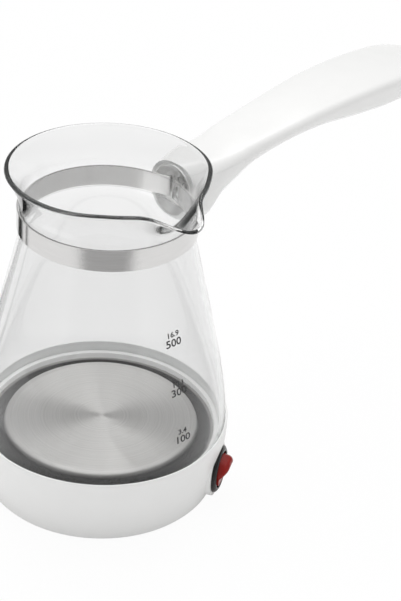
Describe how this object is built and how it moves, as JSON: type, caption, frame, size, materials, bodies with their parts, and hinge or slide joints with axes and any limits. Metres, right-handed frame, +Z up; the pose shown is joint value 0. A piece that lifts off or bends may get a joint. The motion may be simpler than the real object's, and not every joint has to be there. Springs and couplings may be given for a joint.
{
  "type": "electric coffee pot",
  "caption": "Electric glass coffee pot: waisted spouted jug bonded into a round heated base, long arched handle on a steel neck band, round rocker switch.",
  "frame": {"origin": "centre of the foot ring's underside, on the jug's axis", "axes": "+Z up along the jug's axis, +X out along the handle; the spout points to about -Y"},
  "size_m": [0.2899, 0.1182, 0.16],
  "materials": {
    "glass": "clear, fire-polished",
    "silicone": "moulded",
    "turned_steel": "fine turned",
    "aluminium": "mill",
    "sheath_steel": "annealed",
    "ceramic": "glazed steatite",
    "zinc_steel": "zinc plated",
    "phenolic": "moulded",
    "white_plastic": "polished",
    "black_rubber": "moulded",
    "brass": "plain",
    "black_plastic": "polished",
    "red_plastic": "polished, translucent",
    "lamp_glass": "clear",
    "brushed_steel": "brushed",
    "clear_silicone": "moulded"
  },
  "bodies": {
    "pot": {"glass_jug": "glass", "seal_ring": "silicone", "heater_plate": "turned_steel", "heat_spreader": "aluminium", "heating_element": "sheath_steel", "element_terminals": "ceramic", "clamp_studs": "zinc_steel", "clamp_ring": "zinc_steel", "clamp_nuts": "zinc_steel", "thermostat": "phenolic", "thermostat_bracket": "zinc_steel", "thermostat_screws": "zinc_steel", "thermal_fuse": "ceramic", "fuse_clip": "zinc_steel", "base_housing": "white_plastic", "bottom_cover": "white_plastic", "cover_screws": "zinc_steel", "foot_ring": "black_rubber", "cord_bush": "black_rubber", "terminal_block": "ceramic", "terminal_screws": "brass", "switch_housing": "black_plastic", "switch_terminals": "brass", "neck_band": "brushed_steel", "band_liner": "clear_silicone", "handle_disc": "brushed_steel", "disc_screw": "zinc_steel", "tang_pin": "zinc_steel", "handle_shell": "white_plastic", "handle_cover": "white_plastic", "handle_screws": "zinc_steel"},
    "rocker": {"switch_rocker": "red_plastic", "switch_plunger": "ceramic", "switch_spring": "zinc_steel", "neon_lamp": "lamp_glass"},
    "lever": {"contact_lever": "brass"}
  },
  "joints": [
    {"name": "rocker_hinge", "type": "hinge", "parent": "pot", "child": "rocker", "pos_m": [0.02537, -0.05201, 0.0151], "axis": [-0.8988, -0.4384, 0], "range_deg": [0, 24]},
    {"name": "lever_hinge", "type": "hinge", "parent": "pot", "child": "lever", "pos_m": [0.02059, -0.04221, 0.0151], "axis": [-0.8988, -0.4384, 0], "range_deg": [-12, 0]}
  ],
  "couplings": [
    {"joint": "lever_hinge", "follows": "rocker_hinge", "ratio": -0.5}
  ]
}
